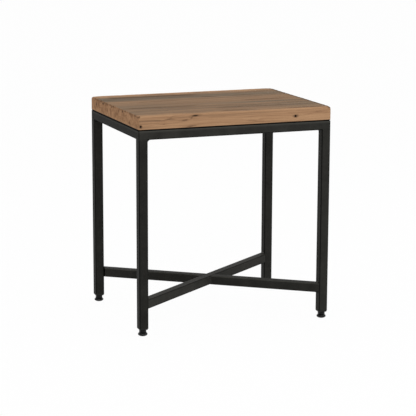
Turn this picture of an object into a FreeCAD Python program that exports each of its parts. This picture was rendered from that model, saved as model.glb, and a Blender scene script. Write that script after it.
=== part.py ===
import FreeCAD, Part
import math
import os

# Side table: a top of reclaimed boards on a welded frame of square steel tube with levelling feet.
# Millimetres. X is the long side, Y runs from front to back, Z is up from the floor.

# Whole table
TABLE_LENGTH = 552.0
TABLE_DEPTH = 415.0
LEG_LENGTH = 509.5
FOOT_REACH = 17.5  # floor to the undersides of the plugs that close the legs
STRETCHER_CLEARANCE = 74.5  # floor to the underside of the crossed stretcher
STRETCHER_INSET = 2.0  # outer side of the stretcher's ends behind the outer faces of the legs

# Square steel tube
TUBE_SIZE = 25.4
TUBE_WALL = 2.0
TUBE_CORNER = 3.0

# Weld beads
RING_BEAD_REACH = 6.0  # how far the bead in an inner corner runs along each face
STRETCHER_BEAD_REACH = 4.0
BEAD_MIDDLE_SHARE = 0.82  # depth of metal in the middle of a hollow bead, of a flat one
GROUND_BEAD_SHARE = 0.6  # depth of the bead ground off outside, of the tube's corner radius
GRIND_DEPTH = 0.1  # ground bead behind the outer faces beside it

# Top boards, from front to back
TOP_THICKNESS = 38.0
TOP_ARRIS = 2.5  # rounding of the upper and upright edges
LOWER_ARRIS = 1.5  # bevel along the lower edges
JOINT_EASE = 0.8  # eased edges along the glued joints
BOARD_NAMES = ("board_front", "board_second", "board_middle", "board_fourth", "board_back")
BOARD_WIDTH_SHARES = (0.345, 0.155, 0.20, 0.18, 0.12)

# Loose tenons in the glued joints
TENON_LENGTH = 50.0  # along the joint
TENON_WIDTH = 40.0  # across the joint, half in each board
TENON_THICKNESS = 8.0
TENON_GAP = 0.1
TENON_PLACE_SHARES = (-0.38, 0.0, 0.38)  # along the table's length

# Tabs that hold the top down, with their wood screws
TAB_WIDTH = 34.0
TAB_REACH = 26.0
TAB_THICKNESS = 3.0
TAB_CORNER = 6.0  # cut off the free corners
TAB_SLOT_LENGTH = 12.0
TAB_PLACE_SHARE = 0.28  # along the long rails, of the table's length
WOOD_SCREW_DIAMETER = 6.0
WOOD_SCREW_BITE = 24.0
WOOD_SCREW_ACROSS_FLATS = 10.0
WOOD_SCREW_HEAD_HEIGHT = 4.0
SCREW_GAP = 0.15  # round the wood screws, in wood and slots

# Levelling feet
PLUG_HEIGHT = 12.0  # inside the leg
PLUG_GAP = 0.1  # round the plug, in the bore of the leg
PLUG_FLANGE = 4.0  # thickness of the plug below the leg
PLUG_BEVEL = 2.5  # along the lower edges of the flange
PAD_DIAMETER = 26.0
PAD_HEIGHT = 8.5
THREAD_DIAMETER = 8.0
THREAD_LENGTH = 32.0  # above the underside of the plug
THREAD_GAP = 0.08
COLLAR_ACROSS_FLATS = 17.0
PIN_DIAMETER = 6.0
PIN_DEPTH = 5.5
RUN_GAP = 0.2  # between the turning screw and what it runs on

OVERRUN = 1.0  # how far cutting tools pass the faces they cut

V = FreeCAD.Vector
ORIGIN = V(0, 0, 0)
X_AXIS = V(1, 0, 0)
Y_AXIS = V(0, 1, 0)
Z_AXIS = V(0, 0, 1)
QUARTER_TURN = 90.0
HEX_SIDES = 6

LEG_X = (TABLE_LENGTH - TUBE_SIZE) / 2
LEG_Y = (TABLE_DEPTH - TUBE_SIZE) / 2
LEG_FACE = LEG_X - TUBE_SIZE / 2  # inner faces of the legs, which the stretcher runs between
LEG_LOW = FOOT_REACH + PLUG_FLANGE
RING_LOW = LEG_LOW + LEG_LENGTH
RING_HIGH = RING_LOW + TUBE_SIZE
TUBE_FLAT = TUBE_SIZE - 2 * TUBE_CORNER
TUBE_BORE = TUBE_SIZE - 2 * TUBE_WALL
TAB_HIGH = RING_HIGH - TUBE_CORNER
SCREW_SEAT = TAB_HIGH - TAB_THICKNESS
STRETCHER_SIDE = TABLE_DEPTH / 2 - STRETCHER_INSET
STRETCHER_SPAN = math.hypot(LEG_FACE, STRETCHER_SIDE)  # middle of the table to the outer corner of an end
STRETCHER_TURN = math.acos(TUBE_SIZE / 2 / STRETCHER_SPAN) - math.atan2(LEG_FACE, STRETCHER_SIDE)
STRETCHER_ANGLE = math.degrees(STRETCHER_TURN)
STRETCHER_HALF = TABLE_LENGTH / 2 / math.cos(STRETCHER_TURN)  # before its ends are sawn to the legs
STRETCHER_MIDDLE = STRETCHER_CLEARANCE + TUBE_SIZE / 2

# Sides of the four corners, as signs along X and Y
CORNERS = {
    "front_left": (-1, -1),
    "front_right": (1, -1),
    "back_left": (-1, 1),
    "back_right": (1, 1),
}
# Turn about Z, own length and the table's size across, for each rail of the ring
RAILS = {
    "rail_front": (0, TABLE_LENGTH, TABLE_DEPTH),
    "rail_right": (QUARTER_TURN, TABLE_DEPTH, TABLE_LENGTH),
    "rail_back": (2 * QUARTER_TURN, TABLE_LENGTH, TABLE_DEPTH),
    "rail_left": (3 * QUARTER_TURN, TABLE_DEPTH, TABLE_LENGTH),
}
# Rail that carries each tab, and the tab's place along it
TABS = {
    "top_tab_front_left": ("rail_front", -TAB_PLACE_SHARE * TABLE_LENGTH),
    "top_tab_front_right": ("rail_front", TAB_PLACE_SHARE * TABLE_LENGTH),
    "top_tab_back_left": ("rail_back", TAB_PLACE_SHARE * TABLE_LENGTH),
    "top_tab_back_right": ("rail_back", -TAB_PLACE_SHARE * TABLE_LENGTH),
}


# Basic shapes


def moved(shape, x, y, z):
    """The shape itself, shifted."""
    shape.translate(V(x, y, z))
    return shape


def turned(shape, degrees, axis=Z_AXIS):
    """The shape itself, turned about an axis through the origin."""
    shape.rotate(ORIGIN, axis, degrees)
    return shape


def prism(points, run):
    """Solid swept along a vector from a flat outline."""
    return Part.Face(Part.makePolygon(points + points[:1])).extrude(run)


def hex_bar(across_flats, low, high):
    """Upright hexagonal bar between two heights."""
    reach = across_flats / 2 / math.cos(math.pi / HEX_SIDES)
    turns = [2 * math.pi * side / HEX_SIDES for side in range(HEX_SIDES)]
    hexagon = [V(reach * math.cos(turn), reach * math.sin(turn), low) for turn in turns]
    return prism(hexagon, Z_AXIS * (high - low))


def centred_box(width, depth, height):
    """Box centred on the Z axis, standing on z = 0."""
    return Part.makeBox(width, depth, height, V(-width / 2, -depth / 2, 0))


def upright_edges(solid):
    """Edges of a solid that run along Z."""
    return [edge for edge in solid.Edges if edge.BoundBox.ZLength > edge.BoundBox.DiagonalLength / 2]


def rounded_bar(width, depth, height, radius):
    """Upright bar on z = 0 with rounded upright edges, centred on the Z axis."""
    bar = centred_box(width, depth, height)
    return bar.makeFillet(radius, upright_edges(bar))


# Square tube


def tube_bar(length):
    """Outside of an upright square tube, as a full bar."""
    return rounded_bar(TUBE_SIZE, TUBE_SIZE, length, TUBE_CORNER)


def square_tube(length):
    """Upright square tube on z = 0."""
    return tube_bar(length).cut(centred_box(TUBE_BORE, TUBE_BORE, length))


def lying(section, length, start=0):
    """Tube or bar laid along X from a given place on the axis."""
    return moved(turned(section(length), QUARTER_TURN, Y_AXIS), start, 0, 0)


# Welded frame


def at_leg(shape, corner, height):
    """Puts a shape on the axis of one leg, at a height."""
    side_x, side_y = CORNERS[corner]
    return moved(shape, side_x * LEG_X, side_y * LEG_Y, height)


def leg(corner):
    """Upright tube under one corner of the ring."""
    return at_leg(square_tube(LEG_LENGTH), corner, LEG_LOW)


def on_rail(shape, name):
    """Moves a shape from a rail's own frame, where -Y faces outward, to the rail's place."""
    turn, _, across = RAILS[name]
    return turned(moved(shape, 0, (TUBE_SIZE - across) / 2, RING_LOW + TUBE_SIZE / 2), turn)


def rail(name, section=square_tube):
    """Tube of the ring, mitred at both ends, its outer corners ground as round as a leg's."""
    _, length, _ = RAILS[name]
    half = TUBE_SIZE / 2
    end = length / 2
    outline = [
        V(-end, -half, -half),
        V(end, -half, -half),
        V(end - TUBE_SIZE, half, -half),
        V(TUBE_SIZE - end, half, -half),
    ]
    mitred = lying(section, length, -end).common(prism(outline, Z_AXIS * TUBE_SIZE))
    ring_outline = rounded_bar(TABLE_LENGTH, TABLE_DEPTH, TUBE_SIZE, TUBE_CORNER)
    return on_rail(mitred, name).common(moved(ring_outline, 0, 0, RING_LOW))


def stretcher_tube(turn, start=0):
    """Tube of the stretcher at an angle, its outer end or ends sawn to the inner faces of the legs."""
    tube = turned(lying(square_tube, STRETCHER_HALF - start, start), turn)
    room = centred_box(2 * LEG_FACE, 2 * TABLE_DEPTH, 2 * TUBE_SIZE)
    return moved(tube.common(moved(room, 0, 0, -TUBE_SIZE)), 0, 0, STRETCHER_MIDDLE)


def stretcher_through():
    """Tube from the front left leg to the back right one."""
    return stretcher_tube(STRETCHER_ANGLE, -STRETCHER_HALF)


def stretcher_half(turn):
    """Tube from the side of the through tube, sawn to fit it, to one leg."""
    corner = V(-STRETCHER_HALF, -TUBE_SIZE / 2, STRETCHER_CLEARANCE)
    saw = Part.makeBox(2 * STRETCHER_HALF, TUBE_SIZE, TUBE_SIZE, corner)
    return stretcher_tube(turn).cut(turned(saw, STRETCHER_ANGLE))


def bead(corner, along_one, along_other, reach, run):
    """Hollow weld bead in the corner between two flat faces, swept along the corner."""
    start = corner + along_one * reach
    end = corner + along_other * reach
    middle = corner + ((start + end) / 2 - corner) * BEAD_MIDDLE_SHARE
    hollow = Part.Arc(start, middle, end).toShape()
    outline = Part.Wire([Part.makeLine(corner, start), hollow, Part.makeLine(end, corner)])
    return Part.Face(outline).extrude(run)


def ground_bead(corner):
    """Metal that fills the notch under the rails' rounded edges outside a leg, ground off."""
    outside = TUBE_SIZE - 2 * GRIND_DEPTH
    inside = TUBE_SIZE - 2 * TUBE_CORNER * GROUND_BEAD_SHARE
    block = rounded_bar(outside, outside, TUBE_CORNER, TUBE_CORNER - GRIND_DEPTH)
    frame = at_leg(block.cut(centred_box(inside, inside, TUBE_CORNER)), corner, RING_LOW)
    notch = frame.cut([rail(name, tube_bar) for name in RAILS])
    return max(notch.Solids, key=lambda solid: solid.Volume)


def ring_welds():
    """Beads between the legs and the ring: two inner corners and the ground outside of each leg."""
    beads = []
    for corner, (side_x, side_y) in CORNERS.items():
        beads.append(ground_bead(corner))
        for inward, sideways in ((X_AXIS * -side_x, Y_AXIS), (Y_AXIS * -side_y, X_AXIS)):
            inner_face = V(side_x * LEG_X, side_y * LEG_Y, RING_LOW) + inward * (TUBE_SIZE / 2)
            start = inner_face - sideways * (TUBE_FLAT / 2)
            beads.append(bead(start, inward, -Z_AXIS, RING_BEAD_REACH, sideways * TUBE_FLAT))
    return Part.makeCompound(beads)


def cross_welds():
    """Upright beads in the four corners where the half tubes meet the through tube."""
    beads = []
    through = V(math.cos(STRETCHER_TURN), math.sin(STRETCHER_TURN), 0)
    for side in (1, -1):
        half = V(through.x, -through.y, 0) * side
        spread = abs(through.cross(half).z)
        for flank in (1, -1):
            corner = (half + through * flank) * (TUBE_SIZE / 2 / spread)
            foot = corner + Z_AXIS * (STRETCHER_CLEARANCE + TUBE_CORNER)
            beads.append(bead(foot, half, through * flank, STRETCHER_BEAD_REACH, Z_AXIS * TUBE_FLAT))
    return Part.makeCompound(beads)


def stretcher_welds():
    """Beads above and below the stretcher's ends, on the inner faces of the legs."""
    beads = []
    slope = math.tan(STRETCHER_TURN)
    start = LEG_Y - TUBE_FLAT / 2
    end = STRETCHER_SIDE - TUBE_CORNER / math.cos(STRETCHER_TURN) - STRETCHER_BEAD_REACH * slope
    for side_x, side_y in CORNERS.values():
        run = Y_AXIS * (side_y * (end - start))
        for height, away in ((STRETCHER_CLEARANCE, -Z_AXIS), (STRETCHER_CLEARANCE + TUBE_SIZE, Z_AXIS)):
            corner = V(side_x * LEG_FACE, side_y * start, height)
            beads.append(bead(corner, X_AXIS * -side_x, away, STRETCHER_BEAD_REACH, run))
    return Part.makeCompound(beads)


# What holds the top down


def tab_hole_reach():
    """Distance of a tab's slot from the middle of its rail."""
    return (TUBE_SIZE + TAB_REACH) / 2


def top_tab(name):
    """Flat tab on a rail's inner face, its slot across the boards, the way the wood swells."""
    rail_name, along = TABS[name]
    root = TUBE_SIZE / 2
    end = root + TAB_REACH
    half = TAB_WIDTH / 2
    outline = [
        V(-half, root, 0),
        V(half, root, 0),
        V(half, end - TAB_CORNER, 0),
        V(half - TAB_CORNER, end, 0),
        V(TAB_CORNER - half, end, 0),
        V(-half, end - TAB_CORNER, 0),
    ]
    plate = prism(outline, Z_AXIS * TAB_THICKNESS)
    radius = WOOD_SCREW_DIAMETER / 2 + SCREW_GAP
    straight = TAB_SLOT_LENGTH - 2 * radius
    slot = centred_box(2 * radius, straight, TAB_THICKNESS)
    for side in (-1, 1):
        slot = slot.fuse(Part.makeCylinder(radius, TAB_THICKNESS, Y_AXIS * (side * straight / 2)))
    plate = plate.cut(moved(slot.removeSplitter(), 0, tab_hole_reach(), 0))
    return on_rail(moved(plate, along, 0, SCREW_SEAT - RING_LOW - TUBE_SIZE / 2), rail_name)


def at_tab(shape, name, height):
    """Puts a shape on the axis of one tab's slot, at a height."""
    rail_name, along = TABS[name]
    return on_rail(moved(shape, along, tab_hole_reach(), height - RING_LOW - TUBE_SIZE / 2), rail_name)


def screw_shank(gap=0):
    """Shank of a wood screw from its seat on z = 0, or the hole it needs with a gap round it."""
    length = RING_HIGH - SCREW_SEAT + WOOD_SCREW_BITE
    return Part.makeCylinder(WOOD_SCREW_DIAMETER / 2 + gap, length + gap)


def wood_screw():
    """Hex-head wood screw with its head's seat on z = 0."""
    head = hex_bar(WOOD_SCREW_ACROSS_FLATS, -WOOD_SCREW_HEAD_HEIGHT, 0)
    return head.fuse(screw_shank())


# Top


def joint_lines():
    """Y of the glued joints between neighbouring boards, from front to back."""
    total = sum(BOARD_WIDTH_SHARES)
    lines = []
    reached = 0
    for share in BOARD_WIDTH_SHARES[:-1]:
        reached += share / total
        lines.append((reached - 1 / 2) * TABLE_DEPTH)
    return lines


def tenons(gap=0):
    """Loose tenons across the glued joints, or the mortises they need with a gap round them."""
    length = TENON_LENGTH + 2 * gap
    width = TENON_WIDTH + 2 * gap
    thickness = TENON_THICKNESS + 2 * gap
    low = RING_HIGH + (TOP_THICKNESS - thickness) / 2
    made = []
    for line in joint_lines():
        for share in TENON_PLACE_SHARES:
            made.append(moved(centred_box(length, width, thickness), share * TABLE_LENGTH, line, low))
    return made


def top_blank():
    """The whole top as one slab with eased arrises."""
    slab = centred_box(TABLE_LENGTH, TABLE_DEPTH, TOP_THICKNESS)
    eased = [edge for edge in slab.Edges if edge.BoundBox.ZMax > TOP_THICKNESS / 2]
    slab = slab.makeFillet(TOP_ARRIS, eased)
    lower = [edge for edge in slab.Edges if edge.BoundBox.ZMax < LOWER_ARRIS]
    return moved(slab.makeChamfer(LOWER_ARRIS, lower), 0, 0, RING_HIGH)


def boards():
    """The boards of the top, each cut from the eased slab, with mortises and pilot holes."""
    slab = top_blank()
    holes = tenons(TENON_GAP) + [at_tab(screw_shank(SCREW_GAP), name, SCREW_SEAT) for name in TABS]
    outside = TABLE_DEPTH / 2 + OVERRUN
    lines = [-outside] + joint_lines() + [outside]
    low = RING_HIGH
    high = RING_HIGH + TOP_THICKNESS
    made = {}
    for name, front, back in zip(BOARD_NAMES, lines, lines[1:]):
        profile = [
            (front, low + JOINT_EASE),
            (front, high - JOINT_EASE),
            (front + JOINT_EASE, high),
            (back - JOINT_EASE, high),
            (back, high - JOINT_EASE),
            (back, low + JOINT_EASE),
            (back - JOINT_EASE, low),
            (front + JOINT_EASE, low),
        ]
        strip = prism([V(-TABLE_LENGTH / 2, y, z) for y, z in profile], X_AXIS * TABLE_LENGTH)
        made[name] = slab.common(strip).cut(holes)
    return made


# Levelling feet


def leg_plug(corner):
    """Threaded plug in the lower end of a leg, with a bevelled flange that covers the tube's end."""
    size = TUBE_BORE - 2 * PLUG_GAP
    height = PLUG_FLANGE + PLUG_HEIGHT
    flange = centred_box(TUBE_SIZE, TUBE_SIZE, PLUG_FLANGE)
    flange = flange.makeChamfer(TUBE_CORNER, upright_edges(flange))
    lower = [edge for edge in flange.Edges if edge.BoundBox.ZMax < PLUG_FLANGE / 2]
    flange = flange.makeChamfer(PLUG_BEVEL, lower)
    thread = Part.makeCylinder(THREAD_DIAMETER / 2 + THREAD_GAP, height)
    return at_leg(flange.fuse(centred_box(size, size, height)).cut(thread), corner, FOOT_REACH)


def foot_pad(corner):
    """Round pad with a blind socket for the pin of its screw."""
    pad = Part.makeCylinder(PAD_DIAMETER / 2, PAD_HEIGHT)
    depth = PIN_DEPTH + RUN_GAP
    socket = Part.makeCylinder(PIN_DIAMETER / 2 + RUN_GAP, depth, Z_AXIS * (PAD_HEIGHT - depth))
    return at_leg(pad.cut(socket), corner, 0)


def foot_screw(corner):
    """Levelling screw: threaded rod, hex collar to turn it by, and a pin that turns in the pad."""
    low = PAD_HEIGHT + RUN_GAP
    high = FOOT_REACH - RUN_GAP
    collar = hex_bar(COLLAR_ACROSS_FLATS, low, high)
    rod = Part.makeCylinder(THREAD_DIAMETER / 2, FOOT_REACH + THREAD_LENGTH - high, Z_AXIS * high)
    pin = Part.makeCylinder(PIN_DIAMETER / 2, PIN_DEPTH + RUN_GAP, Z_AXIS * (PAD_HEIGHT - PIN_DEPTH))
    return at_leg(collar.fuse([rod, pin]), corner, 0)


def assemble():
    """All pieces by node name."""
    pieces = boards()
    pieces["edge_tenons"] = Part.makeCompound(tenons())
    for name in RAILS:
        pieces[name] = rail(name)
    pieces["stretcher_through"] = stretcher_through()
    pieces["stretcher_half_right"] = stretcher_half(-STRETCHER_ANGLE)
    pieces["stretcher_half_left"] = stretcher_half(2 * QUARTER_TURN - STRETCHER_ANGLE)
    pieces["ring_welds"] = ring_welds()
    pieces["cross_welds"] = cross_welds()
    pieces["stretcher_welds"] = stretcher_welds()
    for name in TABS:
        pieces[name] = top_tab(name)
    pieces["top_screws"] = Part.makeCompound([at_tab(wood_screw(), name, SCREW_SEAT) for name in TABS])
    for corner in CORNERS:
        pieces["leg_" + corner] = leg(corner)
        pieces["leg_plug_" + corner] = leg_plug(corner)
        pieces["foot_pad_" + corner] = foot_pad(corner)
        pieces["foot_screw_" + corner] = foot_screw(corner)
    return pieces


os.makedirs("parts", exist_ok=True)
for node, shape in assemble().items():
    shape.exportStep("parts/" + node + ".step")
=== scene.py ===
import math

import bpy
import numpy as np
from mathutils import Matrix, Vector, noise


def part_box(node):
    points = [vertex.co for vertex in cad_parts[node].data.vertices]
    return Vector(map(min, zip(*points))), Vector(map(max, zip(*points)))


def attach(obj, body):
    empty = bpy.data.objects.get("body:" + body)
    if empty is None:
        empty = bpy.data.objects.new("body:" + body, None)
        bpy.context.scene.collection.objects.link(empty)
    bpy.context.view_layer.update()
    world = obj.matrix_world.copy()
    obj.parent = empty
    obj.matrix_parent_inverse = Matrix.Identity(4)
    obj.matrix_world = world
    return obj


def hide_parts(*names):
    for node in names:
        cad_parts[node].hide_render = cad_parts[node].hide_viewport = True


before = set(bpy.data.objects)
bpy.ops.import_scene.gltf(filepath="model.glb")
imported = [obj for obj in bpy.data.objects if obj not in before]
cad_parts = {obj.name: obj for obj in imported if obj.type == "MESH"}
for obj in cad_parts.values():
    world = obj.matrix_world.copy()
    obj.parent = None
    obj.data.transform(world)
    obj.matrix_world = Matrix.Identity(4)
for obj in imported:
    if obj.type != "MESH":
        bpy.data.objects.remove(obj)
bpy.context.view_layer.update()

# Side table of reclaimed boards on a black welded frame. Metres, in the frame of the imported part.

MM = 0.001
CORNERS = ("front_left", "front_right", "back_left", "back_right")
BOARDS = ("board_front", "board_second", "board_middle", "board_fourth", "board_back")
TOP_LOW, TOP_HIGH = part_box(BOARDS[0])[0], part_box(BOARDS[-1])[1]
TOP_THICK = TOP_HIGH.z - TOP_LOW.z

# Camera, as it stood for the photo
IMAGE_PIXELS = 416
FOCAL_PIXELS = 1632.1
SENSOR_MM = 36.0
CAMERA_PLACE = Vector((-1.63, -4.1874, 1.2155))
CAMERA_YAW = math.radians(21.256)  # from +Y towards +X
CAMERA_PITCH = math.radians(11.608)  # downwards
CAMERA_ROLL = math.radians(0.201)

# Light
WHITE = (1, 1, 1, 1)
AMBIENT = 0.62  # strength of the world where it lights surfaces
FLOOR_SIZE = 40.0
FLOOR_CLEAR_SHARE = 0.97  # of the floor as the camera sees it, the rest takes shadows
FLOOR_COLOUR = (0.9, 0.9, 0.9, 1)
# Place, aim, side and strength in watts of each soft box
SOFT_BOXES = {
    "key": ((-1.2, -3.8, 2.6), (0.0, 0.0, 0.35), 2.4, 55.0),
    "fill": ((2.8, -2.2, 1.6), (0.0, 0.0, 0.3), 2.4, 30.0),
    "overhead": ((0.1, 0.3, 3.4), (0.0, 0.0, 0.5), 2.0, 14.0),
}

# Boards: spacing of the mesh
GRID_ALONG = 2.6 * MM
GRID_ACROSS = 2.8 * MM
GRID_UPWARD = 1.4 * MM
GRID_FINE = 0.6 * MM
ARRIS_BAND = 5 * MM  # closely divided strip along each edge
NAIL_BAND = 2  # and on each side of a nail hole, in its radii

# Boards: radii of the worn edges
OUTER_ARRIS = 2.4 * MM  # upper long edges
END_ARRIS = 2.6 * MM  # upper edges of the ends
JOINT_ARRIS = 0.8 * MM  # edges between boards
LOWER_ARRIS = 2.8 * MM
LEAST_ARRIS = 0.6 * MM
CORNER_ROUND = 3.5 * MM  # the four upright corners of the top
CORNER_WEAR = 6.5 * MM  # and their upper ends
CORNER_DROP = 1.5  # how far down those ends reach, in radii
CORNER_ARRIS = 4.6 * MM  # the upper edges that meet there
WEAR_FADE = (1, 3)  # where the wear of an end or corner begins and ends to fade, in radii
UPPER_SPAN = (0.35, 0.65)  # shares of the thickness between which lower edges pass into upper ones
SURFACE_WAVE = 0.35 * MM

# Ripples: scale per metre along X, Y and Z, and seed
SEED_STEP = Vector((17.3, 5.1, 9.7))  # from each seed to the next, through the noise
RAGGED = ((160, 300, 300), 41)  # ragged outlines of marks
CHECK_DRIFT = ((22, 0, 0), 40)
STREAK_DRIFT = ((14, 0, 0), 42)
FACE_WAVE = ((6, 34, 34), 50)
# Uneven wear: share, scale and seed of each ripple
LONG_RIPPLES = ((0.55, (38, 0, 0), 0), (0.35, (130, 0, 0), 10))
END_RIPPLES = ((0.7, (0, 70, 0), 20), (0.6, (0, 240, 0), 30))
PATINA_RIPPLES = ((0.6, (14, 30, 0), 60), (0.25, (60, 0, 0), 61))
RIGHT_RIPPLES = ((0.3, (0, 45, 0), 62),)

# Least part of the outward direction that counts as facing up, to the front, or out of an end
FACES_UP, FACES_FRONT, FACES_END = 0.6, 0.4, 0.3

# Greyness of each board's upper face, and where its pith lies across and below its middle
BOARD_LOOKS = {
    "board_front": (0.70, (0.030, -0.085)),
    "board_second": (0.74, (-0.045, -0.060)),
    "board_middle": (0.46, (0.020, 0.075)),
    "board_fourth": (1.00, (-0.015, -0.070)),
    "board_back": (0.60, (0.035, -0.050)),
}
GRAIN_SHIFT = 0.7  # from each board to the next, along the grain's noise

# Nail holes in the front edge: place along X, share of the thickness from the top, radius of the
# hole, half length and half height of the rust stain round it
NAIL_HOLES = (
    (171 * MM, 0.55, 2.7 * MM, 10 * MM, 5.4 * MM),
    (-270.5 * MM, 0.72, 2.3 * MM, 5 * MM, 6 * MM),
)
NAIL_DEPTH = 7 * MM
NAIL_WALL = (0.8, 1.05)  # where the hole's wall begins and ends, in radii
NAIL_RIM = (0.8, 1.4)  # and its black rim
NAIL_STAIN = 0.55
NAIL_STAIN_SPAN = (0.45, 1.2)  # where the rust begins and ends to fade, in its half sizes
NAIL_STAIN_RAGGED = 0.25

# Checks in the upper faces: board, start and end along X, Y, depth
TOP_CHECKS = (
    ("board_front", -265 * MM, -50 * MM, -67 * MM, 1.4 * MM),
    ("board_fourth", -240 * MM, 20 * MM, 152 * MM, 1.3 * MM),
    ("board_fourth", 15 * MM, 70 * MM, 94 * MM, 1.6 * MM),
    ("board_fourth", 120 * MM, 165 * MM, 99 * MM, 1.2 * MM),
    ("board_second", 110 * MM, 245 * MM, -5 * MM, 1.2 * MM),
    ("board_front", -30 * MM, 190 * MM, -122 * MM, 0.9 * MM),
    ("board_middle", -200 * MM, -60 * MM, 48 * MM, 0.8 * MM),
)
CHECK_WIDTH = 0.9 * MM
CHECK_WANDER = 1.4 * MM
CHECK_TAPER = 25 * MM
CHECK_STAIN = 3.4 * MM
CHECK_TONE, CHECK_RAGGED = 0.6, 0.3  # strength of that stain and how much it varies

# Broad dark streaks on the upper face: start and end along X, Y, half width, strength
TOP_STREAKS = (
    (-268 * MM, -40 * MM, -64 * MM, 12 * MM, 0.42),
    (-70 * MM, 110 * MM, -72 * MM, 9 * MM, 0.22),
    (-255 * MM, 40 * MM, 147 * MM, 19 * MM, 0.56),
    (0 * MM, 90 * MM, 95 * MM, 12 * MM, 0.42),
    (100 * MM, 190 * MM, 99 * MM, 11 * MM, 0.38),
    (95 * MM, 255 * MM, -3 * MM, 11 * MM, 0.36),
    (-130 * MM, 40 * MM, 118 * MM, 10 * MM, 0.28),
    (-40 * MM, 210 * MM, -125 * MM, 10 * MM, 0.22),
    (-230 * MM, -90 * MM, 40 * MM, 9 * MM, 0.18),
    (130 * MM, 272 * MM, 150 * MM, 12 * MM, 0.30),
    (-45 * MM, 70 * MM, -180 * MM, 9 * MM, 0.52),
    (140 * MM, 274 * MM, -192 * MM, 8 * MM, 0.42),
)
STREAK_WANDER = 4.2 * MM
STREAK_TAPER = 50 * MM  # at the end of a streak, its start tapers like a check
STREAK_SPAN = (0.2, 1)  # where a streak begins and ends to fade, in half widths
STREAK_RAGGED = 0.3

# Dark marks in the ends: side along X, Y, share of the thickness from the top, half width,
# half height, strength
END_MARKS = (
    (-1, 162 * MM, 0.42, 5 * MM, 8 * MM, 0.75),
    (-1, 97 * MM, 0.16, 12 * MM, 4 * MM, 0.65),
    (-1, 60 * MM, 0.55, 3 * MM, 9 * MM, 0.35),
    (-1, 22 * MM, 0.14, 9 * MM, 4 * MM, 0.55),
    (-1, -38 * MM, 0.22, 5 * MM, 6 * MM, 0.55),
    (-1, -72 * MM, 0.14, 10 * MM, 4 * MM, 0.65),
    (-1, -130 * MM, 0.72, 5 * MM, 7 * MM, 0.60),
    (-1, -196 * MM, 0.10, 7 * MM, 3 * MM, 0.50),
    (1, 120 * MM, 0.20, 6 * MM, 7 * MM, 0.60),
    (1, 15 * MM, 0.60, 4 * MM, 8 * MM, 0.60),
    (1, -100 * MM, 0.15, 10 * MM, 4 * MM, 0.55),
    (1, -170 * MM, 0.50, 4 * MM, 9 * MM, 0.60),
)
END_MARK_SPAN = (0.2, 1.2)  # where a mark begins and ends to fade, in half sizes
END_MARK_DEPTH = 0.48 * MM
MARK_RAGGED = 0.4  # of these marks and of knots

# Knots in the front edge: place along X, share of the thickness from the top, half length,
# half height, rise towards +X, strength
EDGE_KNOTS = (
    (-118 * MM, 0.14, 11 * MM, 2.8 * MM, 0.03, 0.85),
    (-128 * MM, 0.27, 5 * MM, 2.8 * MM, 0.60, 0.45),
    (-148 * MM, 0.42, 12 * MM, 2.2 * MM, 0.06, 0.60),
    (-193 * MM, 0.30, 14 * MM, 1.4 * MM, 0.20, 0.45),
    (-186 * MM, 0.16, 9 * MM, 1.1 * MM, 0.30, 0.35),
    (-206 * MM, 0.62, 7 * MM, 1.4 * MM, 0.00, 0.45),
    (-131 * MM, 0.86, 15 * MM, 2.0 * MM, 0.05, 0.60),
    (42 * MM, 0.68, 20 * MM, 1.3 * MM, -0.04, 0.30),
    (236 * MM, 0.30, 18 * MM, 1.3 * MM, 0.05, 0.30),
)
KNOT_SPAN = (0.25, 1.25)  # where a knot begins and ends to fade, in half sizes
KNOT_DEPTH = 0.8 * MM
KNOT_HALO = 0.3  # strength of the stain round a knot
KNOT_HALO_SPAN = (0.8, 2.6)
KNOT_SWIRL = 2.5 * MM  # how far the grain bends round a knot
KNOT_SWIRL_REACH = 2.5  # in half sizes

# Painted shadow line above the rails, and darker chipped, right and back upper edges: strength,
# and where each begins and ends to fade
SHADOW_LINE_SPAN = (0.7, 1.2)  # above the rails, in radii of the lower edges
SHADOW_LINE_TURN = (0.1, 0.5)  # level part of the outward direction between which it sets in
UPPER_EDGE = (-2.5, -1)  # heights between which the upper edges set in, in END_ARRIS from the top
CHIP_STRENGTH = 0.55
CHIP_WEAR = (0.5, 1.4)  # wear between which chips set in
CHIP_TURN = (0.15, 0.4)  # parts of the outward direction along -X between which they set in
CHIP_FLAT = (0.9, 1.0)  # and along +Z between which they end
RIGHT_STRENGTH = 0.6
RIGHT_STRIP = (4 * MM, 13 * MM)  # from the right end
BACK_STRENGTH = 0.4
BACK_STRIP = (10 * MM, 15 * MM)  # from the back edge
BACK_STRETCH = (0.6, 1)  # of the way to the right end

# Patina: distances from the front and back edges are in PATINA_FADE, heights in LOWER_ARRIS
PATINA_FADE = 34 * MM  # how far the worn, warmer wood reaches in from those edges
FLAT_FACE = (0.75, 0.98)  # up or down part of the outward direction between edges and flat faces
GREY_FROM_FRONT = (0.15, 1.0)
GREY_FROM_BACK = (0.5, 1.1)
UNDERSIDE_GREY = 0.35
WORN_FRONT, WORN_FRONT_SPAN, WORN_FRONT_TURN = 0.45, (0.0, 0.4), (0.2, 0.6)
WORN_BACK, WORN_BACK_SPAN = 0.75, (0.4, 0.9)
WORN_END, WORN_END_SPAN, WORN_END_TURN = 0.45, (1.5, 3), (0.6, 0.9)
WAVY_FACE = (0.9, 1.0)  # up or down part of the outward direction where the wave sets in
END_GRAIN_TURN = (0.55, 0.9)  # part of the outward direction along X where end grain sets in

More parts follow.
